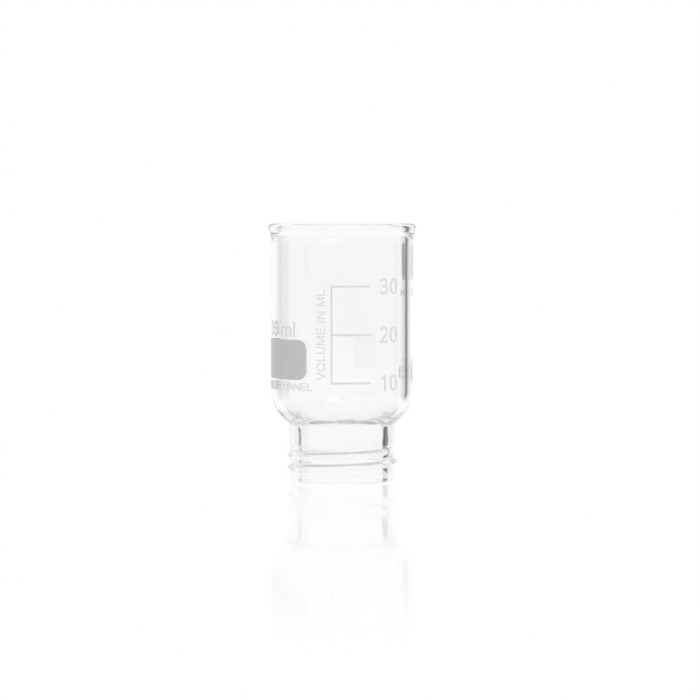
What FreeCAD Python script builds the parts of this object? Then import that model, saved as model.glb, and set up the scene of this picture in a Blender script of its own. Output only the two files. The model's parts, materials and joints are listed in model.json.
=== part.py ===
import FreeCAD, Part
import math
import os

import Sketcher
from FreeCAD import Placement, Rotation, Vector

# A screw-thread filter funnel: a 30 ml borosilicate glass cup, open at both ends, that narrows
# at a rounded shoulder to a neck with an outside thread. The scale and the panels are white
# enamel fired on the outside of the barrel.
# Frame: Z is the cup's axis and z = 0 is the end face of the neck, on which the cup stands.
# The front of the cup, with the scale, faces -Y. Angles round the barrel are counted from the
# front towards +X, in degrees. Lengths are in millimetres.

document = FreeCAD.newDocument("filter_funnel")
sheet = document.addObject("Spreadsheet::Sheet", "Sizes")

DRIVING_SIZES = {
    # glass
    "TotalHeight": 65.0,
    "BarrelRadius": 17.8,
    "BarrelWall": 1.75,
    "RimRadius": 18.63,
    "MouthRadius": 16.2,
    "MouthFlareHeight": 60.3,
    "RimBlendHeight": 59.8,
    "ShoulderRadius": 10.3,
    "ShoulderHeight": 23.15,
    "ShoulderInnerRadius": 7.9,
    "ShoulderInnerRound": 2.2,
    "NeckRadius": 13.25,
    "NeckBoreRadius": 10.5,
    "NeckFilletRadius": 1.2,
    "SeamHeight": 13.4,
    "LipRadius": 12.95,
    "LipRound": 0.7,
    "LipTaperHeight": 8.6,
    # thread
    "ThreadCrestRadius": 13.8,
    "ThreadPitch": 3.0,
    "ThreadTurns": 1.6,
    "ThreadStartAngle": -150.0,
    "ThreadStartHeight": 3.05,
    "ThreadRootWidth": 2.4,
    "ThreadSink": 0.4,
    # pip inside the barrel wall
    "PipAngle": 97.0,
    "PipHeight": 27.6,
    "PipCentreRadius": 16.4,
    "PipDepthRadius": 2.3,
    "PipHalfWidth": 5.0,
    "PipHalfHeight": 3.2,
    # enamel
    "EnamelThickness": 0.08,
    "LineWidth": 0.5,
    "ScaleLineAngle": -8.4,
    "TickEndAngle": 23.4,
    "FirstGraduation": 25.5,
    "GraduationStep": 12.0,
    "NumeralAngle": 41.0,
    "NumeralHeight": 4.0,
    "CaptionAngle": -17.2,
    "CaptionHeight": 2.25,
    "LabelAngle": -61.5,
    "LabelWidth": 19.8,
    "LabelHeight": 10.0,
    "LabelBase": 26.2,
    "LabelCornerRadius": 2.3,
    "CapacityHeight": 3.9,
    "CapacityBase": 36.8,
    "LabelCaptionAngle": -59.2,
    "LabelCaptionHeight": 2.0,
    "LabelCaptionBase": 23.5,
    "RearPanelAngle": 99.2,
    "RearPanelWidth": 4.8,
    "RearPanelHeight": 9.7,
    "RearPanelBase": 50.5,
    "RearCapacityAngle": 101.0,
    "RearCapacityHeight": 1.8,
    "RearCapacityBase": 46.7,
}
for row, (alias, value) in enumerate(DRIVING_SIZES.items(), start=1):
    sheet.set(f"A{row}", alias)
    sheet.set(f"B{row}", str(value))
    sheet.setAlias(f"B{row}", alias)
document.recompute()


def size(alias):
    """A driving size, read from the sheet."""
    return float(sheet.get(alias))


def bind(thing, **expressions):
    """Ties properties of a document object to formulas of the sheet's sizes.

    A double underscore in a name stands for a dot, as in Placement__Base__z.
    """
    for name, formula in expressions.items():
        thing.setExpression(name.replace("__", "."), formula)


def cells(formula):
    """A formula in which the names of sizes become references to the sheet."""
    for alias in sorted(DRIVING_SIZES, key=len, reverse=True):
        formula = formula.replace(f"#{alias}", f"Sizes.{alias}")
    return formula


# ---------------------------------------------------------------------------------------------
# Glass: revolved profiles
# ---------------------------------------------------------------------------------------------


def origin_feature(body, role):
    return next(item for item in body.Origin.OriginFeatures if item.Role == role)


def new_body(name):
    body = document.addObject("PartDesign::Body", name)
    body.Label = name
    return body


class Profile:
    """A closed half section in the XZ plane, drawn edge by edge in one turning direction."""

    def __init__(self, body, name):
        self.sketch = body.newObject("Sketcher::SketchObject", name)
        self.sketch.AttachmentSupport = (origin_feature(body, "XZ_Plane"), [""])
        self.sketch.MapMode = "FlatFace"
        self.ends = []

    def line(self, start, end):
        edge = self.sketch.addGeometry(Part.LineSegment(Vector(*start, 0), Vector(*end, 0)), False)
        self.ends.append((edge, 1, 2))
        return edge

    def arc(self, centre, radius, start_angle, end_angle):
        """An arc from one angle to another, in degrees, drawn either way round."""
        circle = Part.Circle(Vector(*centre, 0), Vector(0, 0, 1), radius)
        low, high = sorted((math.radians(start_angle), math.radians(end_angle)))
        edge = self.sketch.addGeometry(Part.ArcOfCircle(circle, low, high), False)
        first, last = (1, 2) if end_angle > start_angle else (2, 1)
        self.ends.append((edge, first, last))
        return edge

    def constrain(self, kind, *references):
        return self.sketch.addConstraint(Sketcher.Constraint(kind, *references))

    def join(self, corners):
        """Joins each edge to the next: with a corner where named, and smoothly elsewhere."""
        following = self.ends[1:] + self.ends[:1]
        for (edge, _, last), (next_edge, first, _) in zip(self.ends, following):
            kind = "Coincident" if (edge, next_edge) in corners else "Tangent"
            self.constrain(kind, edge, last, next_edge, first)

    def dimension(self, kind, references, value, formula):
        """A dimension that follows the sheet."""
        index = self.constrain(kind, *references, value)
        self.sketch.setExpression(f"Constraints[{index}]", cells(formula))

    def revolve(self, body, name):
        revolution = body.newObject("PartDesign::Revolution", name)
        revolution.Profile = self.sketch
        revolution.ReferenceAxis = (self.sketch, ["V_Axis"])
        revolution.Angle = 360.0
        return revolution


START, END, CENTRE = 1, 2, 3
ORIGIN = (-1, 1)


def make_barrel():
    """The cup: beaded rim, straight barrel and rounded shoulder, down to the fused seam."""
    barrel_radius = size("BarrelRadius")
    inner_radius = barrel_radius - size("BarrelWall")
    rim_radius = size("RimRadius")
    mouth_radius = size("MouthRadius")
    bead_radius = (rim_radius - mouth_radius) / 2
    bead_centre = (mouth_radius + bead_radius, size("TotalHeight") - bead_radius)
    neck_radius = size("NeckRadius")
    bore_radius = size("NeckBoreRadius")
    seam = size("SeamHeight")

    # The rim's outer blend: tangent to the wall at RimBlendHeight and to the bead above it.
    rise = bead_centre[1] - size("RimBlendHeight")
    inset = bead_centre[0] - barrel_radius
    blend_radius = (rise**2 + inset**2 - bead_radius**2) / (2 * (bead_radius + inset))
    blend_centre = (barrel_radius + blend_radius, size("RimBlendHeight"))
    blend_angle = math.degrees(math.atan2(rise, bead_centre[0] - blend_centre[0]))

    # The shoulder: an outside arc and a tighter inside one, so that the glass thickens downwards.
    shoulder_radius = size("ShoulderRadius")
    inner_shoulder_radius = size("ShoulderInnerRadius")
    shoulder_centre = (barrel_radius - shoulder_radius, size("ShoulderHeight"))
    inner_centre = (inner_radius - inner_shoulder_radius, size("ShoulderHeight"))

    # The small fillet outside, where the shoulder meets the neck.
    fillet = size("NeckFilletRadius")
    fillet_x = neck_radius + fillet
    fillet_z = shoulder_centre[1] - math.sqrt(
        (shoulder_radius + fillet) ** 2 - (fillet_x - shoulder_centre[0]) ** 2
    )
    fillet_angle = math.degrees(
        math.atan2(fillet_z - shoulder_centre[1], fillet_x - shoulder_centre[0])
    )

    # The round inside, where the shoulder turns down into the bore.
    inner_round = size("ShoulderInnerRound")
    inner_x = bore_radius + inner_round
    inner_z = inner_centre[1] - math.sqrt(
        (inner_shoulder_radius + inner_round) ** 2 - (inner_x - inner_centre[0]) ** 2
    )
    inner_angle = math.degrees(math.atan2(inner_z - inner_centre[1], inner_x - inner_centre[0]))

    body = new_body("barrel")
    profile = Profile(body, "BarrelProfile")
    seam_face = profile.line((bore_radius, seam), (neck_radius, seam))
    collar = profile.line((neck_radius, seam), (neck_radius, fillet_z))
    neck_fillet = profile.arc((fillet_x, fillet_z), fillet, 180, 180 + fillet_angle)
    shoulder = profile.arc(shoulder_centre, shoulder_radius, fillet_angle, 0)
    wall = profile.line(
        (barrel_radius, shoulder_centre[1]), (barrel_radius, size("RimBlendHeight"))
    )
    rim_blend = profile.arc(blend_centre, blend_radius, 180, blend_angle)
    bead = profile.arc(bead_centre, bead_radius, blend_angle - 180, 180)
    mouth = profile.line(
        (mouth_radius, bead_centre[1]), (inner_radius, size("MouthFlareHeight"))
    )
    inner_wall = profile.line(
        (inner_radius, size("MouthFlareHeight")), (inner_radius, shoulder_centre[1])
    )
    inner_shoulder = profile.arc(inner_centre, inner_shoulder_radius, 0, inner_angle)
    bore_round = profile.arc((inner_x, inner_z), inner_round, 180 + inner_angle, 180)
    bore = profile.line((bore_radius, inner_z), (bore_radius, seam))

    profile.join(
        corners={
            (seam_face, collar),
            (bore, seam_face),
            (bead, mouth),
            (mouth, inner_wall),
        }
    )
    profile.constrain("Horizontal", seam_face)
    for upright in (collar, wall, inner_wall, bore):
        profile.constrain("Vertical", upright)

    height = "DistanceY"
    across = "DistanceX"
    profile.dimension(height, (*ORIGIN, seam_face, START), seam, "#SeamHeight")
    profile.dimension(across, (*ORIGIN, seam_face, START), bore_radius, "#NeckBoreRadius")
    profile.dimension(across, (*ORIGIN, seam_face, END), neck_radius, "#NeckRadius")
    profile.dimension(across, (*ORIGIN, wall, START), barrel_radius, "#BarrelRadius")
    profile.dimension(
        across, (*ORIGIN, inner_wall, START), inner_radius, "#BarrelRadius - #BarrelWall"
    )
    profile.dimension("Radius", (neck_fillet,), fillet, "#NeckFilletRadius")
    profile.dimension("Radius", (shoulder,), shoulder_radius, "#ShoulderRadius")
    profile.dimension(height, (*ORIGIN, shoulder, CENTRE), shoulder_centre[1], "#ShoulderHeight")
    profile.dimension("Radius", (inner_shoulder,), inner_shoulder_radius, "#ShoulderInnerRadius")
    profile.dimension(
        height, (*ORIGIN, inner_shoulder, CENTRE), inner_centre[1], "#ShoulderHeight"
    )
    profile.dimension(height, (*ORIGIN, wall, END), size("RimBlendHeight"), "#RimBlendHeight")
    profile.dimension(
        "Radius", (bead,), bead_radius, "(#RimRadius - #MouthRadius) / 2"
    )
    profile.dimension(
        across, (*ORIGIN, bead, CENTRE), bead_centre[0], "(#RimRadius + #MouthRadius) / 2"
    )
    profile.dimension(
        height,
        (*ORIGIN, bead, CENTRE),
        bead_centre[1],
        "#TotalHeight - (#RimRadius - #MouthRadius) / 2",
    )
    profile.dimension(
        height,
        (*ORIGIN, mouth, START),
        bead_centre[1],
        "#TotalHeight - (#RimRadius - #MouthRadius) / 2",
    )
    profile.dimension(
        height, (*ORIGIN, mouth, END), size("MouthFlareHeight"), "#MouthFlareHeight"
    )
    profile.dimension("Radius", (bore_round,), inner_round, "#ShoulderInnerRound")
    profile.revolve(body, "BarrelRevolution")
    return body


def make_threaded_neck():
    """The neck tube with its rounded lip and the helical ridge of the outside thread."""
    neck_radius = size("NeckRadius")
    lip_radius = size("LipRadius")
    bore_radius = size("NeckBoreRadius")
    lip_round = size("LipRound")
    seam = size("SeamHeight")
    taper = size("LipTaperHeight")

    body = new_body("threaded_neck")
    profile = Profile(body, "NeckProfile")
    end_face = profile.line((bore_radius + lip_round, 0), (lip_radius - lip_round, 0))
    outer_round = profile.arc((lip_radius - lip_round, lip_round), lip_round, -90, 0)
    thread_root = profile.line((lip_radius, lip_round), (lip_radius, taper))
    step = profile.line((lip_radius, taper), (neck_radius, taper + neck_radius - lip_radius))
    neck_wall = profile.line(
        (neck_radius, taper + neck_radius - lip_radius), (neck_radius, seam)
    )
    seam_face = profile.line((neck_radius, seam), (bore_radius, seam))
    bore = profile.line((bore_radius, seam), (bore_radius, lip_round))
    inner_round = profile.arc((bore_radius + lip_round, lip_round), lip_round, 180, 270)

    profile.join(
        corners={
            (thread_root, step),
            (step, neck_wall),
            (neck_wall, seam_face),
            (seam_face, bore),
        }
    )
    profile.constrain("Horizontal", end_face)
    profile.constrain("Horizontal", seam_face)
    for upright in (thread_root, neck_wall, bore):
        profile.constrain("Vertical", upright)
    height = "DistanceY"
    across = "DistanceX"
    profile.dimension("Radius", (outer_round,), lip_round, "#LipRound")
    profile.dimension("Radius", (inner_round,), lip_round, "#LipRound")
    profile.constrain("PointOnObject", end_face, START, -1)
    profile.dimension(across, (*ORIGIN, thread_root, START), lip_radius, "#LipRadius")
    profile.dimension(across, (*ORIGIN, neck_wall, START), neck_radius, "#NeckRadius")
    profile.dimension(across, (*ORIGIN, bore, END), bore_radius, "#NeckBoreRadius")
    profile.dimension(height, (*ORIGIN, seam_face, END), seam, "#SeamHeight")
    profile.dimension(height, (*ORIGIN, thread_root, END), taper, "#LipTaperHeight")
    profile.dimension(
        height,
        (*ORIGIN, neck_wall, START),
        taper + neck_radius - lip_radius,
        "#LipTaperHeight + #NeckRadius - #LipRadius",
    )
    profile.revolve(body, "NeckRevolution")

    # The ridge's section: a rounded hump whose foot is sunk a little into the neck's wall.
    ridge = body.newObject("Sketcher::SketchObject", "RidgeSection")
    ridge.AttachmentSupport = (origin_feature(body, "XZ_Plane"), [""])
    ridge.MapMode = "FlatFace"
    half_width = size("ThreadRootWidth") / 2
    foot_radius = lip_radius - size("ThreadSink")
    crest_radius = size("ThreadCrestRadius")
    depth = crest_radius - foot_radius
    hump_radius = (half_width**2 + depth**2) / (2 * depth)
    swing = math.asin(half_width / hump_radius)
    start_height = size("ThreadStartHeight")
    hump_circle = Part.Circle(
        Vector(crest_radius - hump_radius, start_height, 0), Vector(0, 0, 1), hump_radius
    )
    hump = ridge.addGeometry(Part.ArcOfCircle(hump_circle, -swing, swing), False)
    foot = ridge.addGeometry(
        Part.LineSegment(
            Vector(foot_radius, start_height + half_width, 0),
            Vector(foot_radius, start_height - half_width, 0),
        ),
        False,
    )
    ridge.addConstraint(Sketcher.Constraint("Coincident", hump, END, foot, START))
    ridge.addConstraint(Sketcher.Constraint("Coincident", foot, END, hump, START))
    ridge.addConstraint(Sketcher.Constraint("Vertical", foot))
    bound_sizes = (
        ("DistanceX", (*ORIGIN, foot, START), foot_radius, "#LipRadius - #ThreadSink"),
        (
            "DistanceY",
            (*ORIGIN, foot, END),
            start_height - half_width,
            "#ThreadStartHeight - #ThreadRootWidth / 2",
        ),
        ("DistanceY", (foot, END, foot, START), 2 * half_width, "#ThreadRootWidth"),
    )
    for kind, references, value, formula in bound_sizes:
        index = ridge.addConstraint(Sketcher.Constraint(kind, *references, value))
        ridge.setExpression(f"Constraints[{index}]", cells(formula))
    index = ridge.addConstraint(Sketcher.Constraint("Radius", hump, hump_radius))
    reach = "(#ThreadCrestRadius - #LipRadius + #ThreadSink)"
    ridge.setExpression(
        f"Constraints[{index}]", cells(f"((#ThreadRootWidth / 2)^2 + {reach}^2) / (2 * {reach})")
    )
    helix = body.newObject("PartDesign::AdditiveHelix", "ThreadRidge")
    helix.Profile = ridge
    helix.ReferenceAxis = (origin_feature(body, "Z_Axis"), [""])
    helix.Mode = "pitch-turns-angle"
    bind(helix, Pitch=cells("#ThreadPitch"), Turns=cells("#ThreadTurns"))
    helix.LeftHanded = False
    # The whole neck turns so that the ridge starts at ThreadStartAngle: its section is drawn
    # on the XZ plane, 90 degrees round from the front.
    body.Placement = Placement(
        Vector(0, 0, 0), Rotation(Vector(0, 0, 1), size("ThreadStartAngle") - 90)
    )
    return body


def make_wall_pip():
    """A shallow lens of glass on the inside of the barrel wall, low on the right."""
    lens = document.addObject("Part::Ellipsoid", "PipLens")
    bind(
        lens,
        Radius1=cells("#PipHalfHeight"),
        Radius2=cells("#PipDepthRadius"),
        Radius3=cells("#PipHalfWidth"),
    )
    lens.Angle1 = -90
    lens.Angle2 = 90
    lens.Angle3 = 360
    lens.Placement = on_wall(size("PipAngle"), size("PipHeight"), size("PipCentreRadius"))
    pip = document.addObject("Part::Common", "wall_pip")
    pip.Base = lens
    pip.Tool = barrel_core("PipBore", "#BarrelRadius - #BarrelWall")
    return pip


# ---------------------------------------------------------------------------------------------
# Enamel
# ---------------------------------------------------------------------------------------------


def on_wall(angle, height, radius):
    """The placement of something whose local X points out of the wall, at an angle and height."""
    turn = Rotation(Vector(0, 0, 1), angle - 90)
    return Placement(turn.multVec(Vector(radius, 0, height)), turn)


def barrel_core(name, radius="#BarrelRadius"):
    """A plain cylinder, as wide as the barrel if not told otherwise, for trimming to the wall."""
    core = document.addObject("Part::Cylinder", name)
    bind(core, Radius=cells(radius), Height=cells("#TotalHeight"))
    return core


def make_band(name, start_angle, end_angle, base_formula, height_formula):
    """A rectangular patch of enamel on the barrel between two angles."""
    sector = document.addObject("Part::Cylinder", name + "_sector")
    bind(
        sector,
        Radius=cells("#BarrelRadius + #EnamelThickness"),
        Height=cells(height_formula),
        Placement__Base__z=cells(base_formula),
    )
    sector.Angle = end_angle - start_angle
    sector.Placement = Placement(
        Vector(0, 0, sector.Placement.Base.z), Rotation(Vector(0, 0, 1), start_angle - 90)
    )
    band = document.addObject("Part::Cut", name)
    band.Base = sector
    band.Tool = barrel_core(name + "_core")
    return band


def line_angle():
    """The angle that a line's width takes up on the barrel."""
    return math.degrees(size("LineWidth") / size("BarrelRadius"))


def make_scale():
    """The upright scale line and one tick for each graduation, joined end to side."""
    half_line = line_angle() / 2
    line_start = size("ScaleLineAngle") - half_line
    line_end = size("ScaleLineAngle") + half_line
    marks = [
        make_band(
            "scale_line",
            line_start,
            line_end,
            "#FirstGraduation - #LineWidth / 2",
            "2 * #GraduationStep + #LineWidth",
        )
    ]
    for step, volume in enumerate(GRADUATIONS):
        marks.append(
            make_band(
                f"tick_{volume}",
                line_end,
                size("TickEndAngle"),
                f"#FirstGraduation + {step} * #GraduationStep - #LineWidth / 2",
                "#LineWidth",
            )
        )
    return marks


def make_panel(name, kind):
    """A blank writing panel with rounded corners; kind begins the names of its sizes."""
    width, height, base = f"#{kind}Width", f"#{kind}Height", f"#{kind}Base"
    angle = size(kind + "Angle")
    half_angle = math.degrees(size(kind + "Width") / size("BarrelRadius")) / 2
    band = make_band(name + "_band", angle - half_angle, angle + half_angle, base, height)
    block = document.addObject("Part::Box", name + "_block")
    chord = f"2 * #BarrelRadius * sin({width} / #BarrelRadius / 2 * 180deg / pi)"
    bind(block, Length=cells("#BarrelRadius"), Width=cells(chord), Height=cells(height))
    block.Placement = on_wall(angle, size(kind + "Base"), size("BarrelRadius") / 2) * Placement(
        Vector(0, -size("BarrelRadius") * math.sin(math.radians(half_angle)), 0), Rotation()
    )
    document.recompute()
    rounded = document.addObject("Part::Fillet", name + "_rounded")
    rounded.Base = block
    radius = size("LabelCornerRadius")
    # The corners are the four edges that run straight out of the wall.
    rounded.Edges = [
        (number, radius, radius)
        for number, edge in enumerate(block.Shape.Edges, start=1)
        if abs(edge.Length - size("BarrelRadius")) < size("EnamelThickness")
        and abs(edge.Vertexes[0].Z - edge.Vertexes[1].Z) < size("EnamelThickness")
    ]
    panel = document.addObject("Part::Common", name)
    panel.Base = rounded
    panel.Tool = band
    return panel


# Letters are drawn with strokes on a cell one unit high: ("line", from, to) and
# ("arc", centre, half width, half height, start angle, end angle), all on the stroke's middle.
# Each glyph has the width that it takes up in a row.
STROKE = 0.125
HALF = STROKE / 2
BASE = HALF
TOP = 1 - HALF
MIDDLE = 0.5


def line(x0, y0, x1, y1):
    return ("line", x0, y0, x1, y1)


def arc(cx, cy, rx, ry, start, end):
    return ("arc", cx, cy, rx, ry, start, end)


GLYPHS = {
    " ": (0.39, []),
    "0": (0.78, [arc(0.39, 0.5, 0.25, TOP - MIDDLE, 0, 360)]),
    "1": (0.78, [line(0.46, 0, 0.46, 1), line(0.20, 0.74, 0.45, 0.93)]),
    "2": (
        0.78,
        [
            arc(0.39, 0.70, 0.25, 0.2375, -38, 172),
            line(0.59, 0.56, 0.16, 0.09),
            line(0.10, BASE, 0.68, BASE),
        ],
    ),
    "3": (
        0.78,
        [
            arc(0.37, 0.72, 0.23, 0.2175, -90, 165),
            arc(0.37, 0.2825, 0.26, 0.22, -165, 90),
            line(0.28, 0.5025, 0.38, 0.5025),
        ],
    ),
    "E": (
        0.93,
        [
            line(0.17, 0, 0.17, 1),
            line(0.17, BASE, 0.86, BASE),
            line(0.17, TOP, 0.84, TOP),
            line(0.17, 0.53, 0.80, 0.53),
        ],
    ),
    "F": (
        0.85,
        [line(0.17, 0, 0.17, 1), line(0.17, TOP, 0.80, TOP), line(0.17, 0.50, 0.72, 0.50)],
    ),
    "I": (0.39, [line(0.195, 0, 0.195, 1)]),
    "L": (0.78, [line(0.16, 0, 0.16, 1), line(0.16, BASE, 0.74, BASE)]),
    "M": (
        1.16,
        [
            line(0.16, 0, 0.16, 1),
            line(1.00, 0, 1.00, 1),
            line(0.18, 0.94, 0.58, 0.06),
            line(0.98, 0.94, 0.58, 0.06),
        ],
    ),
    "N": (1.01, [line(0.16, 0, 0.16, 1), line(0.85, 0, 0.85, 1), line(0.18, 0.93, 0.83, 0.07)]),
    "O": (1.09, [arc(0.545, 0.5, 0.42, TOP - MIDDLE, 0, 360)]),
    "R": (
        1.01,
        [
            line(0.17, 0, 0.17, 1),
            line(0.17, TOP, 0.58, TOP),
            line(0.17, 0.49, 0.58, 0.49),
            arc(0.58, 0.71375, 0.22, 0.22375, -90, 90),
            line(0.55, 0.49, 0.88, 0.03),
        ],
    ),
    "T": (0.85, [line(0.425, 0, 0.425, 1), line(0.04, TOP, 0.81, TOP)]),
    "U": (
        1.01,
        [
            line(0.17, 0.38, 0.17, 1),
            line(0.84, 0.38, 0.84, 1),
            arc(0.505, 0.38, 0.335, 0.3175, 180, 360),
        ],
    ),
    "V": (0.93, [line(0.07, 0.97, 0.465, 0.05), line(0.86, 0.97, 0.465, 0.05)]),
    "l": (0.32, [line(0.16, 0, 0.16, 1)]),
    "m": (
        1.16,
        [
            line(0.15, 0, 0.15, 0.72),
            line(0.58, 0, 0.58, 0.44),
            line(1.01, 0, 1.01, 0.44),
            arc(0.365, 0.44, 0.215, 0.2175, 0, 150),
            arc(0.795, 0.44, 0.215, 0.2175, 0, 150),
        ],
    ),
}


def stroke_face(stroke):
    """One stroke of a glyph as a flat face, in the cell's own units."""
    kind, *numbers = stroke
    if kind == "line":
        start = Vector(numbers[0], numbers[1], 0)
        end = Vector(numbers[2], numbers[3], 0)
        side = (end - start).cross(Vector(0, 0, 1)).normalize() * HALF
        corners = [start - side, start + side, end + side, end - side]
        return Part.Face(Part.makePolygon(corners + corners[:1]))
    cx, cy, rx, ry, start_angle, end_angle = numbers

    def oval(grow):
        """The stroke's edge: an ellipse larger or smaller than the stroke's middle."""
        half_width, half_height = rx + grow, ry + grow
        tall = half_height > half_width
        long_side = Vector(0, half_height, 0) if tall else Vector(half_width, 0, 0)
        short_side = Vector(-half_width, 0, 0) if tall else Vector(0, half_height, 0)
        middle = Vector(cx, cy, 0)
        curve = Part.Ellipse(middle + long_side, middle + short_side, middle)
        turn = 90 if tall else 0
        return curve, turn

    outer, outer_turn = oval(HALF)
    inner, inner_turn = oval(-HALF)
    if end_angle - start_angle == 360:
        outside = Part.Wire(outer.toShape())
        inside = Part.Wire(inner.toShape())
        return Part.Face(outside).cut(Part.Face(inside))
    spans = []
    for curve, turn in ((outer, outer_turn), (inner, inner_turn)):
        low = math.radians(start_angle - turn)
        high = math.radians(end_angle - turn)
        spans.append(Part.ArcOfEllipse(curve, low, high).toShape())
    caps = [
        Part.LineSegment(
            spans[0].Curve.value(spans[0].LastParameter),
            spans[1].Curve.value(spans[1].LastParameter),
        ).toShape(),
        Part.LineSegment(
            spans[1].Curve.value(spans[1].FirstParameter),
            spans[0].Curve.value(spans[0].FirstParameter),
        ).toShape(),
    ]
    return Part.Face(Part.Wire(Part.__sortEdges__([*spans, *caps])))


def glyph_solid(character, height):
    """A glyph as a flat plate in the YZ plane: Y along the row, Z up, X through the wall."""
    faces = [stroke_face(stroke) for stroke in GLYPHS[character][1]]
    flat = faces[0].fuse(faces[1:]).removeSplitter() if len(faces) > 1 else faces[0]
    flat.scale(height, Vector(0, 0, 0))
    depth = 2.0
    plate = flat.extrude(Vector(0, 0, depth))
    plate.translate(Vector(0, 0, -depth / 2))
    row_along_y = Rotation(Vector(0, 1, 0), Vector(0, 0, 1), Vector(1, 0, 0), "XYZ")
    plate.Placement = Placement(Vector(0, 0, 0), row_along_y) * plate.Placement
    return plate


def row_width(text, height):
    return sum(GLYPHS[character][0] for character in text) * height


def enamel_skin():
    """The thin layer on the barrel in which all enamel lies."""
    low, high = size("ShoulderHeight"), size("RimBlendHeight")
    radius = size("BarrelRadius")
    outer = Part.makeCylinder(radius + size("EnamelThickness"), high - low, Vector(0, 0, low))
    return outer.cut(Part.makeCylinder(radius, high - low, Vector(0, 0, low)))


def make_text(name, text, height, middle_angle, base, upright=True):
    """A row of enamel letters on the barrel, each bent to the wall where it stands.

    An upright row runs round the barrel from left to right with its foot at base. A row
    that isn't upright climbs the barrel, with its middle at base and its feet to the right.
    """
    radius = size("BarrelRadius")
    skin = enamel_skin()
    length = row_width(text, height)
    done = 0.0
    letters = []
    for character in text:
        width = GLYPHS[character][0] * height
        offset = done + width / 2 - length / 2
        done += width
        if character == " ":
            continue
        plate = glyph_solid(character, height)
        plate.translate(Vector(0, -width / 2, 0))
        if upright:
            angle = middle_angle + math.degrees(offset / radius)
            plate.Placement = on_wall(angle, base, radius) * plate.Placement
        else:
            plate.translate(Vector(0, 0, -height / 2))
            climb = Placement(Vector(0, 0, offset), Rotation(Vector(1, 0, 0), 90))
            plate.Placement = on_wall(middle_angle, base, radius) * climb * plate.Placement
        letters.append(plate.common(skin))
    row = document.addObject("Part::Feature", name)
    row.Label = name
    row.Shape = Part.makeCompound([solid for letter in letters for solid in letter.Solids])
    return row


# ---------------------------------------------------------------------------------------------
# The cup
# ---------------------------------------------------------------------------------------------

GRADUATIONS = (10, 20, 30)

nodes = [make_barrel(), make_threaded_neck(), make_wall_pip()]
nodes += make_scale()
for step, volume in enumerate(GRADUATIONS):
    nodes.append(
        make_text(
            f"numeral_{volume}",
            str(volume),
            size("NumeralHeight"),
            size("NumeralAngle"),
            size("FirstGraduation") + step * size("GraduationStep") - size("NumeralHeight") / 2,
        )
    )
nodes += [
    make_text(
        "scale_caption",
        "VOLUME IN ML",
        size("CaptionHeight"),
        size("CaptionAngle"),
        size("FirstGraduation") + size("GraduationStep"),
        upright=False,
    ),
    make_panel("label_panel", "Label"),
    make_text(
        "capacity_mark", "30 ml", size("CapacityHeight"), size("LabelAngle"), size("CapacityBase")
    ),
    make_text(
        "label_caption",
        "FILTER FUNNEL",
        size("LabelCaptionHeight"),
        size("LabelCaptionAngle"),
        size("LabelCaptionBase"),
    ),
    make_panel("rear_panel", "RearPanel"),
    make_text(
        "rear_capacity_mark",
        "30 ml",
        size("RearCapacityHeight"),
        size("RearCapacityAngle"),
        size("RearCapacityBase"),
    ),
]
document.recompute()

for item in document.Objects:
    faults = {"Invalid", "Error"} & set(item.State)
    if faults:
        raise RuntimeError(f"{item.Name} failed: {sorted(faults)}")
for node in nodes:
    if node.Shape.isNull() or not node.Shape.isValid() or not node.Shape.Solids:
        raise RuntimeError(f"{node.Label} has no valid solid")

os.makedirs("parts", exist_ok=True)
for node in nodes:
    node.Shape.exportStep(f"parts/{node.Label}.step")
    box = node.Shape.BoundBox
    print(
        f"{node.Label:20s} solids {len(node.Shape.Solids):2d} volume {node.Shape.Volume:9.3f}"
        f"  x {box.XMin:6.2f} {box.XMax:6.2f}  y {box.YMin:6.2f} {box.YMax:6.2f}"
        f"  z {box.ZMin:6.2f} {box.ZMax:6.2f}"
    )
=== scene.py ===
import json
import math

import bpy
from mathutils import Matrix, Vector, noise


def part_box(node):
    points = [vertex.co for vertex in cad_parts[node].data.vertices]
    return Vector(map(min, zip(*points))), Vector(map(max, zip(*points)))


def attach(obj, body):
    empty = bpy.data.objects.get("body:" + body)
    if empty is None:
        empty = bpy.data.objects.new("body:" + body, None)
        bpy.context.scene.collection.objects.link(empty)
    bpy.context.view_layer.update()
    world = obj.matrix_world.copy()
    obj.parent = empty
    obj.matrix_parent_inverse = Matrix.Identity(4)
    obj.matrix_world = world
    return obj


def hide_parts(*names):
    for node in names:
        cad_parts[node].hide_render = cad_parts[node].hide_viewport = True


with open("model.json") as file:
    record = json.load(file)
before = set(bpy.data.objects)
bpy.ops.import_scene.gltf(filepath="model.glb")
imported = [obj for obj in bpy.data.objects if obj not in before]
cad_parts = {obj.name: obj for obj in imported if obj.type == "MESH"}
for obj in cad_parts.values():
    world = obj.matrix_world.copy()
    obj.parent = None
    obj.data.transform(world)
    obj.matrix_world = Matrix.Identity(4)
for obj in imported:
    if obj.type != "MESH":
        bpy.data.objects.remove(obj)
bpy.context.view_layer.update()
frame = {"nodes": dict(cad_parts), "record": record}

MM = 0.001
record = frame["record"]

# ---------------------------------------------------------------------------------------------
# Sizes of the cup in millimetres. Those that the frame holds are read from it.
# Angles round the barrel are in degrees from the front (-Y) towards +X.
# ---------------------------------------------------------------------------------------------

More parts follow.
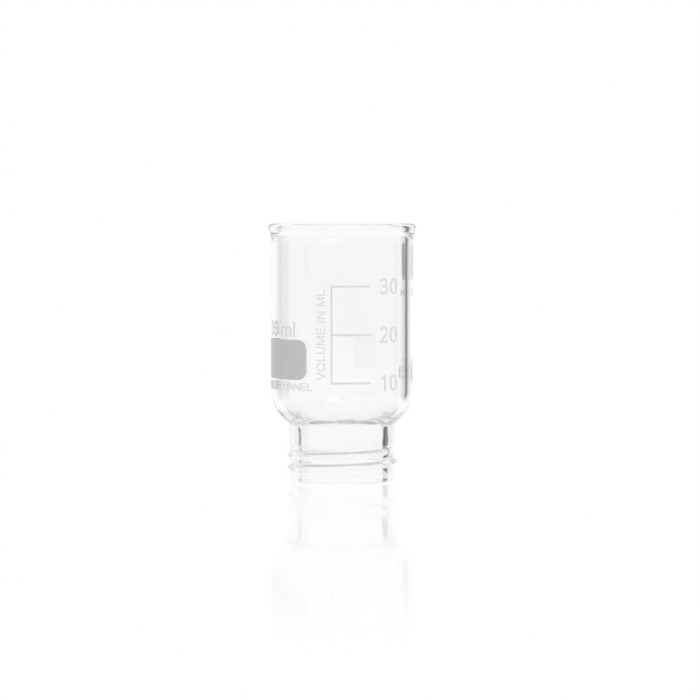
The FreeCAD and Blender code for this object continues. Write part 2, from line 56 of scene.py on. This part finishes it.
rim_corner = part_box("barrel")[1]
TOTAL_HEIGHT = rim_corner.z / MM
RIM_RADIUS = rim_corner.x / MM
MOUTH_RADIUS = 16.2
MOUTH_FLARE_HEIGHT = 60.3
RIM_BLEND_HEIGHT = 59.8
BARREL_RADIUS = 17.8
BARREL_BORE = 16.05
SHOULDER_RADIUS = 10.3
SHOULDER_HEIGHT = 23.15
SHOULDER_INNER_RADIUS = 7.9
BORE_ROUND = 2.2
NECK_RADIUS = 13.25
NECK_BORE = next(m["dims"]["r_mm"] for m in record["mounts"] if m["name"] == "neck_bore")
NECK_FILLET = 1.2
TAPER_HEIGHT = 8.6
TAPER_LENGTH = 1.2
LIP_RADIUS = 12.95
LIP_ROUND = 0.7

THREAD_CREST = 13.80
THREAD_PITCH = 3.0
THREAD_TURNS = 1.6
THREAD_START = -150.0
THREAD_START_HEIGHT = 3.05
THREAD_HALF_WIDTH = 1.15
# degrees over which the ridge rises out of the neck and sinks back into it
THREAD_RISE_TURN = 30
THREAD_FALL_TURN = 18
# the ridge lies between these heights, on the skin outside this radius
THREAD_BOTTOM = 0.5
THREAD_TOP = 10.0
THREAD_SKIN = 12.6

# The pip is an ellipsoid lens that stands in from the bore's wall.
PIP_ANGLE = 97.0
PIP_HEIGHT = 27.6
PIP_CENTRE = 16.4
PIP_DEPTH = 2.3
PIP_HALF_WIDTH = 5.0
PIP_HALF_HEIGHT = 3.2
# radians to each side in which the pip is looked for
PIP_REACH = 0.6
# how softly the lens runs out into the wall, and where the softening stops mattering
PIP_SOFTNESS = 0.08
SOFTENED_FROM = -8
SOFTENED_TO = 40.0

# Unevenness of the inner skin: depths, then where each kind is found.
BARREL_WAVE = 0.02
NECK_STREAK = 0.01
BEND_WAVE = 0.3
UNEVEN_BOTTOM = 1
UNEVEN_TOP = 57
STREAK_BOTTOM = 9.5
BEND_HEIGHT = 15.5
BEND_REACH = 1.6
BARREL_SKIN = BARREL_BORE - 1
# seed, and the waves' lengths round the axis and along it
BARREL_RIPPLE = (3.1, 9.0, 30.0)
NECK_RIPPLE = (7.7, 1.2, 1.2)
BEND_RIPPLE = (5.3, 6.0, 6.0)
SEED_STEPS = (1.0, 1.7, 0.3)

# The enamel's inner face lies this far inside the glass, as fired enamel does.
ENAMEL_BITE = 0.012
TOLERANCE = 0.001

# Mesh density: pieces round the axis, millimetres on straight runs, degrees on arcs
SEGMENTS = 300
LIP_STEP = 0.4
THREAD_STEP = 0.09
TAPER_STEP = 0.2
NECK_STEP = 0.5
BARREL_STEP = 2.0
FLARE_STEP = 0.7
PIP_STEP = 0.35
PIP_STEP_TOP = 32.4
LIP_ARC = 11
FILLET_ARC = 12
SHOULDER_ARC = 3
RIM_BLEND_ARC = 3
BEAD_ARC = 7
BORE_ARC = 6


def add_object(name, data):
    """Puts a new object with these data into the scene."""
    made = bpy.data.objects.new(name, data)
    bpy.context.scene.collection.objects.link(made)
    return made


# ---------------------------------------------------------------------------------------------
# Camera, in metres and degrees
# ---------------------------------------------------------------------------------------------

SENSOR_WIDTH = 36.0
LENS = 197.3
CLIP_END = 20.0
CAMERA_PLACE = (0.0020, -0.966, 0.076)
CAMERA_DIP = 2.546

camera_data = bpy.data.cameras.new("camera")
camera_data.sensor_width = SENSOR_WIDTH
camera_data.lens = LENS
camera_data.clip_end = CLIP_END
camera = add_object("camera", camera_data)
camera.location = CAMERA_PLACE
camera.rotation_euler = (math.radians(90 - CAMERA_DIP), 0, 0)
bpy.context.scene.camera = camera

# ---------------------------------------------------------------------------------------------
# The glass: one smooth closed skin, swept round the axis
# ---------------------------------------------------------------------------------------------


def straight(start, end, step):
    """Points from start up to but not including end, evenly spaced."""
    (r0, z0), (r1, z1) = start, end
    count = max(1, math.ceil(math.hypot(r1 - r0, z1 - z0) / step))
    return [(r0 + (r1 - r0) * i / count, z0 + (z1 - z0) * i / count) for i in range(count)]


def rounded(centre, radius, start, end, step):
    """Points on an arc from one angle to another, without the last."""
    count = max(2, math.ceil(abs(end - start) / step))
    turns = [math.radians(start + (end - start) * i / count) for i in range(count)]
    return [(centre[0] + radius * math.cos(t), centre[1] + radius * math.sin(t)) for t in turns]


def tangent_arc(centre, radius, x, blend):
    """Centre height and touching angle of a small arc that joins an upright wall to an arc.

    The arc about centre bulges outwards; the small arc's centre stands at x, below it.
    """
    across = x - centre[0]
    drop = math.sqrt((radius + blend) ** 2 - across**2)
    return centre[1] - drop, math.degrees(math.atan2(-drop, across))


def half_section():
    """The glass's section, anticlockwise: up the outside, over the rim, down the inside."""
    bead = (RIM_RADIUS - MOUTH_RADIUS) / 2
    bead_centre = (MOUTH_RADIUS + bead, TOTAL_HEIGHT - bead)
    rise = bead_centre[1] - RIM_BLEND_HEIGHT
    inset = bead_centre[0] - BARREL_RADIUS
    blend = (rise**2 + inset**2 - bead**2) / (2 * (bead + inset))
    blend_centre = (BARREL_RADIUS + blend, RIM_BLEND_HEIGHT)
    blend_angle = math.degrees(math.atan2(rise, bead_centre[0] - blend_centre[0]))
    shoulder_centre = (BARREL_RADIUS - SHOULDER_RADIUS, SHOULDER_HEIGHT)
    inner_centre = (BARREL_BORE - SHOULDER_INNER_RADIUS, SHOULDER_HEIGHT)
    fillet_x = NECK_RADIUS + NECK_FILLET
    fillet_z, fillet_angle = tangent_arc(shoulder_centre, SHOULDER_RADIUS, fillet_x, NECK_FILLET)
    round_x = NECK_BORE + BORE_ROUND
    round_z, round_angle = tangent_arc(inner_centre, SHOULDER_INNER_RADIUS, round_x, BORE_ROUND)
    lip_x = LIP_RADIUS - LIP_ROUND
    lip_inner_x = NECK_BORE + LIP_ROUND
    taper_top = TAPER_HEIGHT + TAPER_LENGTH
    outside = (
        straight((lip_inner_x, 0), (lip_x, 0), LIP_STEP)
        + rounded((lip_x, LIP_ROUND), LIP_ROUND, -90, 0, LIP_ARC)
        + straight((LIP_RADIUS, LIP_ROUND), (LIP_RADIUS, TAPER_HEIGHT), THREAD_STEP)
        + straight((LIP_RADIUS, TAPER_HEIGHT), (NECK_RADIUS, taper_top), TAPER_STEP)
        + straight((NECK_RADIUS, taper_top), (NECK_RADIUS, fillet_z), NECK_STEP)
        + rounded((fillet_x, fillet_z), NECK_FILLET, 180, 180 + fillet_angle, FILLET_ARC)
        + rounded(shoulder_centre, SHOULDER_RADIUS, fillet_angle, 0, SHOULDER_ARC)
        + straight((BARREL_RADIUS, SHOULDER_HEIGHT), (BARREL_RADIUS, RIM_BLEND_HEIGHT), BARREL_STEP)
        + rounded(blend_centre, blend, 180, blend_angle, RIM_BLEND_ARC)
        + rounded(bead_centre, bead, blend_angle - 180, 180, BEAD_ARC)
    )
    inside = (
        straight((MOUTH_RADIUS, bead_centre[1]), (BARREL_BORE, MOUTH_FLARE_HEIGHT), FLARE_STEP)
        + straight((BARREL_BORE, MOUTH_FLARE_HEIGHT), (BARREL_BORE, PIP_STEP_TOP), BARREL_STEP)
        + straight((BARREL_BORE, PIP_STEP_TOP), (BARREL_BORE, SHOULDER_HEIGHT), PIP_STEP)
        + rounded(inner_centre, SHOULDER_INNER_RADIUS, 0, round_angle, SHOULDER_ARC)
        + rounded((round_x, round_z), BORE_ROUND, 180 + round_angle, 180, BORE_ARC)
        + straight((NECK_BORE, round_z), (NECK_BORE, LIP_ROUND), LIP_STEP)
        + rounded((lip_inner_x, LIP_ROUND), LIP_ROUND, 180, 270, LIP_ARC)
    )
    return outside, inside


def smooth_step(value):
    value = min(1.0, max(0.0, value))
    return value * value * (3 - 2 * value)


def thread_rise(angle, z):
    """How far the thread's ridge stands out of the neck at an angle and a height."""
    rise = 0.0
    turned = (angle - THREAD_START) % 360
    while turned <= THREAD_TURNS * 360:
        middle = THREAD_START_HEIGHT + THREAD_PITCH * turned / 360
        away = abs(z - middle) / THREAD_HALF_WIDTH
        if away < 1:
            left = THREAD_TURNS * 360 - turned
            ends = smooth_step(turned / THREAD_RISE_TURN) * smooth_step(left / THREAD_FALL_TURN)
            hump = 0.5 + 0.5 * math.cos(math.pi * away)
            rise = max(rise, (THREAD_CREST - LIP_RADIUS) * hump * ends)
        turned += 360
    return rise


def pip_radius(angle, z, wall):
    """The inner skin's radius where the pip's lens stands in from the wall."""
    lift = 1 - ((z - PIP_HEIGHT) / PIP_HALF_HEIGHT) ** 2
    turn = math.radians((angle - PIP_ANGLE + 180) % 360 - 180)
    if lift <= 0 or abs(turn) > PIP_REACH:
        return wall
    a = (math.cos(turn) / PIP_DEPTH) ** 2 + (math.sin(turn) / PIP_HALF_WIDTH) ** 2
    b = -2 * math.cos(turn) * PIP_CENTRE / PIP_DEPTH**2
    c = (PIP_CENTRE / PIP_DEPTH) ** 2 - lift
    root = b * b - 4 * a * c
    if root <= 0:
        return wall
    lens = (-b - math.sqrt(root)) / (2 * a)
    rise = min(SOFTENED_TO, (wall - lens) / PIP_SOFTNESS)
    return wall - PIP_SOFTNESS * math.log1p(math.exp(rise)) if rise > SOFTENED_FROM else wall


def ripple(angle, z, seed, around, along):
    """Slow unevenness of drawn glass: waves of a given length round and along it, in mm."""
    turn = math.radians(angle)
    reach = BARREL_RADIUS / around
    where = Vector((math.cos(turn) * reach, math.sin(turn) * reach, z / along))
    return noise.noise(where + Vector([seed * step for step in SEED_STEPS]))


def inner_unevenness(angle, z, r):
    """What the inner skin's radius gains or loses: draw lines, tool marks at the bend."""
    if z > UNEVEN_TOP or z < UNEVEN_BOTTOM:
        return 0.0
    if r > BARREL_SKIN:
        return BARREL_WAVE * ripple(angle, z, *BARREL_RIPPLE)
    bend = math.exp(-(((z - BEND_HEIGHT) / BEND_REACH) ** 2))
    streaks = NECK_STREAK * ripple(angle, z, *NECK_RIPPLE) if z > STREAK_BOTTOM else 0.0
    return streaks + bend * BEND_WAVE * ripple(angle, z, *BEND_RIPPLE)


def outer_skin(angle, z, r):
    """The outer skin's radius with the thread's ridge, and as far out as the enamel needs."""
    if THREAD_BOTTOM < z < THREAD_TOP and r > THREAD_SKIN:
        r += thread_rise(angle, z)
    if r >= BARREL_RADIUS - TOLERANCE and z < RIM_BLEND_HEIGHT:
        r += ENAMEL_BITE
    return r


def inner_skin(angle, z, r):
    """The inner skin's radius with its unevenness and the pip."""
    r += inner_unevenness(angle, z, r)
    return pip_radius(angle, z, r) if r > BARREL_SKIN else r


def make_glass():
    """Sweeps the section round the axis into one mesh."""
    outside, inside = half_section()
    n = len(outside) + len(inside)
    verts = []
    for i in range(SEGMENTS):
        angle = 360.0 * i / SEGMENTS
        turn = math.radians(angle)
        s, c = math.sin(turn), -math.cos(turn)
        ring = [(outer_skin(angle, z, r), z) for r, z in outside]
        ring += [(inner_skin(angle, z, r), z) for r, z in inside]
        verts += [(r * s * MM, r * c * MM, z * MM) for r, z in ring]
    faces = []
    for i in range(SEGMENTS):
        j = (i + 1) % SEGMENTS
        for k in range(n):
            m = (k + 1) % n
            faces.append((i * n + k, j * n + k, j * n + m, i * n + m))
    mesh = bpy.data.meshes.new("glass_cup")
    mesh.from_pydata(verts, [], faces)
    mesh.validate()
    mesh.shade_smooth()
    return add_object("glass_cup", mesh)


# ---------------------------------------------------------------------------------------------
# Materials. Texture scales are counted per metre, depths in metres.
# ---------------------------------------------------------------------------------------------

CLOUD_SPAN = (0.3, 0.7)
GLASS_IOR = 1.473
GLASS_CLOUD_SCALE = 30.0
GLASS_TINT_LOW = (0.965, 0.972, 0.972)
GLASS_TINT_HIGH = (0.982, 0.986, 0.986)
GLASS_SMEAR_SCALE = 90.0
GLASS_SMEAR = 0.012
GLASS_WAVE_SCALE = 140.0
GLASS_WAVE_DEPTH = 0.0000005
MARK_COLOUR = (0.81, 0.81, 0.81)
# painted shade: the label panel is the same white enamel as the marks, set darker to stand in for
# the shade it lies in
PANEL_PAINTED_SHADE_COLOUR = (0.60, 0.59, 0.59)
ENAMEL_MOTTLE_SCALE = 260.0
ENAMEL_MOTTLE = 0.035
ENAMEL_ROUGHNESS = (0.32, 0.5)
ENAMEL_GRAIN_SCALE = 2200.0
ENAMEL_GRAIN_DEPTH = 0.000012
FULL = (0.0, 1.0)
WHITE = (1, 1, 1, 1)


def new_material(name):
    material = bpy.data.materials.new(name)
    material.use_nodes = True
    nodes = material.node_tree.nodes
    return material, nodes, material.node_tree.links, nodes["Principled BSDF"]


def map_range(nodes, links, value, source, target=FULL, smooth=False):
    """Carries a value from one range over to another, and holds it at the ends."""
    node = nodes.new("ShaderNodeMapRange")
    if smooth:
        node.interpolation_type = "SMOOTHSTEP"
    node.inputs["From Min"].default_value, node.inputs["From Max"].default_value = source
    node.inputs["To Min"].default_value, node.inputs["To Max"].default_value = target
    links.new(value, node.inputs["Value"])
    return node.outputs["Result"]


def cloud(nodes, links, scale, detail, target=FULL):
    """A soft random field in the object's own space, between two values."""
    place = nodes.new("ShaderNodeTexCoord")
    field = nodes.new("ShaderNodeTexNoise")
    field.inputs["Scale"].default_value = scale
    field.inputs["Detail"].default_value = detail
    links.new(place.outputs["Object"], field.inputs["Vector"])
    return map_range(nodes, links, field.outputs["Fac"], CLOUD_SPAN, target)


def mottle(nodes, links, shader, field, low, high):
    """Lets the base colour wander between two colours."""
    mix = nodes.new("ShaderNodeMix")
    mix.data_type = "RGBA"
    links.new(field, mix.inputs["Factor"])
    mix.inputs["A"].default_value = (*low, 1)
    mix.inputs["B"].default_value = (*high, 1)
    links.new(mix.outputs["Result"], shader.inputs["Base Color"])


def relief(nodes, links, shader, field, distance):
    """Raises and sinks the surface by a random field, as deep as the distance in metres."""
    bump = nodes.new("ShaderNodeBump")
    bump.inputs["Strength"].default_value = 1.0
    bump.inputs["Distance"].default_value = distance
    links.new(field, bump.inputs["Height"])
    links.new(bump.outputs["Normal"], shader.inputs["Normal"])


def glass_material():
    """Clear borosilicate glass: a trace of blue-green, faint smears, slow waves from drawing."""
    material, nodes, links, shader = new_material("clear_glass")
    shader.inputs["Transmission Weight"].default_value = 1.0
    shader.inputs["IOR"].default_value = GLASS_IOR
    tint = cloud(nodes, links, GLASS_CLOUD_SCALE, detail=2.0)
    mottle(nodes, links, shader, tint, GLASS_TINT_LOW, GLASS_TINT_HIGH)
    smears = cloud(nodes, links, GLASS_SMEAR_SCALE, detail=4.0, target=(0.0, GLASS_SMEAR))
    links.new(smears, shader.inputs["Roughness"])
    waves = cloud(nodes, links, GLASS_WAVE_SCALE, detail=1.0)
    relief(nodes, links, shader, waves, GLASS_WAVE_DEPTH)
    return material


def enamel_material(name, colour):
    """Satin fired enamel: grainy in colour, gloss and height."""
    material, nodes, links, shader = new_material(name)
    tint = cloud(nodes, links, ENAMEL_MOTTLE_SCALE, detail=3.0)
    low, high = ([c * f for c in colour] for f in (1 - ENAMEL_MOTTLE, 1 + ENAMEL_MOTTLE))
    mottle(nodes, links, shader, tint, low, high)
    gloss = cloud(nodes, links, ENAMEL_GRAIN_SCALE, detail=2.0, target=ENAMEL_ROUGHNESS)
    links.new(gloss, shader.inputs["Roughness"])
    grain = cloud(nodes, links, ENAMEL_GRAIN_SCALE, detail=2.0)
    relief(nodes, links, shader, grain, ENAMEL_GRAIN_DEPTH)
    return material


# ---------------------------------------------------------------------------------------------
# The set, in metres. Its floor ends a little behind the cup, so that the glass is lit from there.
# ---------------------------------------------------------------------------------------------

FLOOR_HALF_WIDTH = 0.5
FLOOR_FRONT = -0.7
FLOOR_BACK = 0.020
FLOOR_ROUGHNESS = 0.04
FLOOR_MIRROR = 0.28
# distances from the cup between which the floor stops mirroring
MIRROR_RANGE = (0.12, 0.36)
# brightness of the floor's painted shade where it is seen steeply in or through the glass
FLOOR_SHADE = 0.46
# sines of the looking angles between which the floor turns from white to its shade
FLOOR_GRAZING = 0.22
FLOOR_STEEP = 0.60

# Brightness of the surroundings by azimuth, in degrees from behind the cup towards +X
SURROUNDINGS = [
    (-180, 0.8), (-130, 0.8), (-100, 0.76), (-66, 0.74), (-60, 0.4), (-55, 0.15),
    (-51, 0.45), (-47, 0.8), (-40, 0.92), (-28, 0.97), (-18, 1.0),
    (20, 1.0), (28, 0.95), (33, 0.7), (37, 0.22), (46, 0.12), (52, 0.06), (58, 0.03),
    (62, 0.9), (100, 0.88), (120, 0.8), (180, 0.8),
]
# sines of the elevations between which they fade to plain white, above and below the horizon
HIGH_START = 0.20
HIGH_END = 0.35
LOW_START = 0.16
LOW_END = 0.30
LAMP_AZIMUTH = 22.0
LAMP_ELEVATION = 50.0
LAMP_HALF_ANGLE = 13.0
LAMP_STRENGTH = 3.5


def floor_material():
    """Glowing white floor, plain white to the camera; seen in or through things it carries painted
    shade, bright at a grazing look, greyer from above; mirroring nearby.
    """
    material = bpy.data.materials.new("floor")
    material.use_nodes = True
    nodes, links = material.node_tree.nodes, material.node_tree.links
    nodes.clear()
    out = nodes.new("ShaderNodeOutputMaterial")
    mix = nodes.new("ShaderNodeMixShader")
    glow = nodes.new("ShaderNodeEmission")
    gloss = nodes.new("ShaderNodeBsdfGlossy")
    gloss.inputs["Color"].default_value = WHITE
    gloss.inputs["Roughness"].default_value = FLOOR_ROUGHNESS
    facing = nodes.new("ShaderNodeLayerWeight")
    facing.inputs["Blend"].default_value = 0.5
    # painted shade: for rays other than the camera's, the floor's glow dims the more steeply it is
    # looked at
    looks = (1 - FLOOR_STEEP, 1 - FLOOR_GRAZING)
    shade = map_range(nodes, links, facing.outputs["Facing"], looks, (FLOOR_SHADE, 1.0), smooth=True)
    path = nodes.new("ShaderNodeLightPath")
    seen = nodes.new("ShaderNodeMix")
    links.new(path.outputs["Is Camera Ray"], seen.inputs["Factor"])
    links.new(shade, seen.inputs["A"])
    seen.inputs["B"].default_value = 1.0
    links.new(seen.outputs["Result"], glow.inputs["Strength"])
    place = nodes.new("ShaderNodeTexCoord")
    away = nodes.new("ShaderNodeVectorMath")
    away.operation = "LENGTH"
    links.new(place.outputs["Object"], away.inputs[0])
    fade = (FLOOR_MIRROR, 0.0)
    share = map_range(nodes, links, away.outputs["Value"], MIRROR_RANGE, fade, smooth=True)
    links.new(share, mix.inputs["Fac"])
    links.new(glow.outputs[0], mix.inputs[1])
    links.new(gloss.outputs[0], mix.inputs[2])
    links.new(mix.outputs[0], out.inputs["Surface"])
    return material


def make_floor():
    mesh = bpy.data.meshes.new("floor")
    corners = [
        (-FLOOR_HALF_WIDTH, FLOOR_FRONT, 0), (FLOOR_HALF_WIDTH, FLOOR_FRONT, 0),
        (FLOOR_HALF_WIDTH, FLOOR_BACK, 0), (-FLOOR_HALF_WIDTH, FLOOR_BACK, 0),
    ]
    mesh.from_pydata(corners, [], [(0, 1, 2, 3)])
    mesh.materials.append(floor_material())
    floor = add_object("floor", mesh)


def make_world():
    """Soft white surroundings with a dark band at each side, seen only in and through things."""
    world = bpy.data.worlds.new("studio")
    bpy.context.scene.world = world
    world.use_nodes = True
    nodes, links = world.node_tree.nodes, world.node_tree.links
    nodes.clear()

    def math_node(kind, a, b):
        node = nodes.new("ShaderNodeMath")
        node.operation = kind
        for socket, value in zip(node.inputs, (a, b)):
            if isinstance(value, (int, float)):
                socket.default_value = value
            else:
                links.new(value, socket)
        return node.outputs[0]

    out = nodes.new("ShaderNodeOutputWorld")
    coords = nodes.new("ShaderNodeTexCoord")
    split = nodes.new("ShaderNodeSeparateXYZ")
    links.new(coords.outputs["Generated"], split.inputs[0])
    x, y, z = split.outputs
    azimuth = math_node("ARCTAN2", x, y)
    around = math_node("ADD", math_node("DIVIDE", azimuth, 2 * math.pi), 0.5)
    ramp = nodes.new("ShaderNodeValToRGB")
    elements = ramp.color_ramp.elements
    while len(elements) < len(SURROUNDINGS):
        elements.new(0.5)
    for element, (angle, value) in zip(elements, SURROUNDINGS):
        element.position = angle / 360 + 0.5
        element.color = (value, value, value, 1)
    links.new(around, ramp.inputs[0])
    above = map_range(nodes, links, z, (HIGH_END, HIGH_START))
    below = map_range(nodes, links, z, (-LOW_END, -LOW_START))
    mix = nodes.new("ShaderNodeMix")
    mix.data_type = "RGBA"
    links.new(math_node("MULTIPLY", above, below), mix.inputs["Factor"])
    mix.inputs["A"].default_value = WHITE
    links.new(ramp.outputs["Color"], mix.inputs["B"])
    # one soft lamp, right of the camera and above it
    lamp_turn, lamp_rise = math.radians(LAMP_AZIMUTH), math.radians(LAMP_ELEVATION)
    lamp = nodes.new("ShaderNodeVectorMath")
    lamp.operation = "DOT_PRODUCT"
    links.new(coords.outputs["Generated"], lamp.inputs[0])
    lamp.inputs[1].default_value = (
        math.sin(lamp_turn) * math.cos(lamp_rise),
        -math.cos(lamp_turn) * math.cos(lamp_rise),
        math.sin(lamp_rise),
    )
    edge = (math.cos(math.radians(LAMP_HALF_ANGLE)), math.cos(math.radians(LAMP_HALF_ANGLE / 2)))
    spot = map_range(nodes, links, lamp.outputs["Value"], edge, (1.0, LAMP_STRENGTH), smooth=True)
    studio = nodes.new("ShaderNodeBackground")
    links.new(mix.outputs["Result"], studio.inputs["Color"])
    links.new(spot, studio.inputs["Strength"])
    plain = nodes.new("ShaderNodeBackground")
    plain.inputs["Color"].default_value = WHITE
    path = nodes.new("ShaderNodeLightPath")
    choose = nodes.new("ShaderNodeMixShader")
    links.new(path.outputs["Is Camera Ray"], choose.inputs["Fac"])
    links.new(studio.outputs[0], choose.inputs[1])
    links.new(plain.outputs[0], choose.inputs[2])
    links.new(choose.outputs[0], out.inputs["Surface"])


# ---------------------------------------------------------------------------------------------
# Everything together
# ---------------------------------------------------------------------------------------------

glass = make_glass()
glass.data.materials.append(glass_material())
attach(glass, "root")
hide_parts("barrel", "threaded_neck", "wall_pip")

marks = enamel_material("enamel_marks", MARK_COLOUR)
shaded_panel_enamel = enamel_material("enamel_panels", PANEL_PAINTED_SHADE_COLOUR)
for part in record["subparts"]:
    if part["material_slot"] == "enamel":
        # the label panel takes the darker copy of the white enamel, which is painted shade
        enamel = shaded_panel_enamel if part["node"] == "label_panel" else marks
        for slot in frame["nodes"][part["node"]].material_slots:
            slot.material = enamel

make_floor()
make_world()

# light runs round inside the thread, the bead and the bend many times before it leaves
BOUNCES = 64

scene = bpy.context.scene
scene.view_settings.view_transform = "Standard"
scene.cycles.max_bounces = BOUNCES
scene.cycles.transmission_bounces = BOUNCES
scene.cycles.glossy_bounces = BOUNCES
scene.cycles.caustics_reflective = True
scene.cycles.caustics_refractive = True
